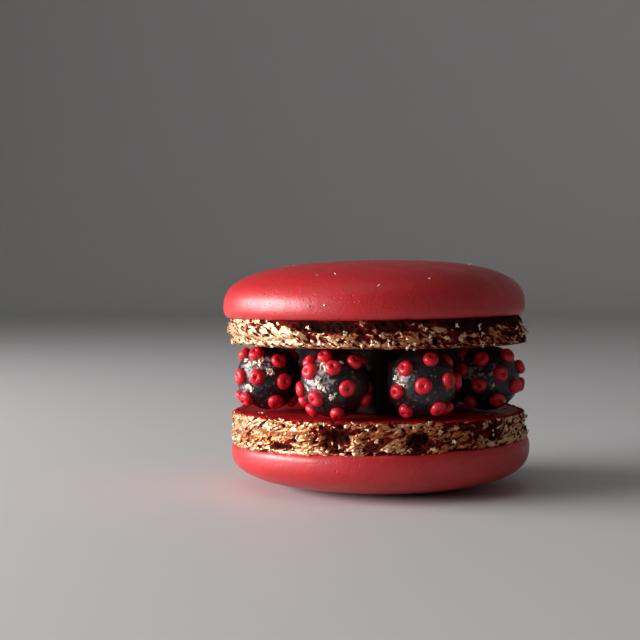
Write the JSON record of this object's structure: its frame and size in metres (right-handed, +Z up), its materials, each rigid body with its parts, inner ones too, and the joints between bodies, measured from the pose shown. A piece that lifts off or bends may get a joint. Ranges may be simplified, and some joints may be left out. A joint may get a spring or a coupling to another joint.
{
  "type": "filled macaron",
  "caption": "Red macaron: two domed shells with frilled, gold-leafed feet round a ring of dark truffle balls studded with dimpled sugar pearls.",
  "frame": {"origin": "on the table, under the middle of the macaron", "axes": "+Z up through both shells, -Y towards the front, +X to the right"},
  "size_m": [0.0462, 0.0454, 0.0339],
  "materials": {
    "shell_red": "satin, finely pitted baked shell",
    "gold_leaf": "crumpled metal leaf",
    "truffle_dark": "satin, slightly pitted",
    "pearl_red": "satin sugar pearl",
    "ganache": "soft satin"
  },
  "bodies": {
    "root": {"lower_shell": "shell_red", "upper_shell": "shell_red", "ganache_core": "ganache", "truffle_1": "truffle_dark", "truffle_2": "truffle_dark", "truffle_3": "truffle_dark", "truffle_4": "truffle_dark", "truffle_5": "truffle_dark", "truffle_6": "truffle_dark", "truffle_7": "truffle_dark"}
  },
  "joints": []
}
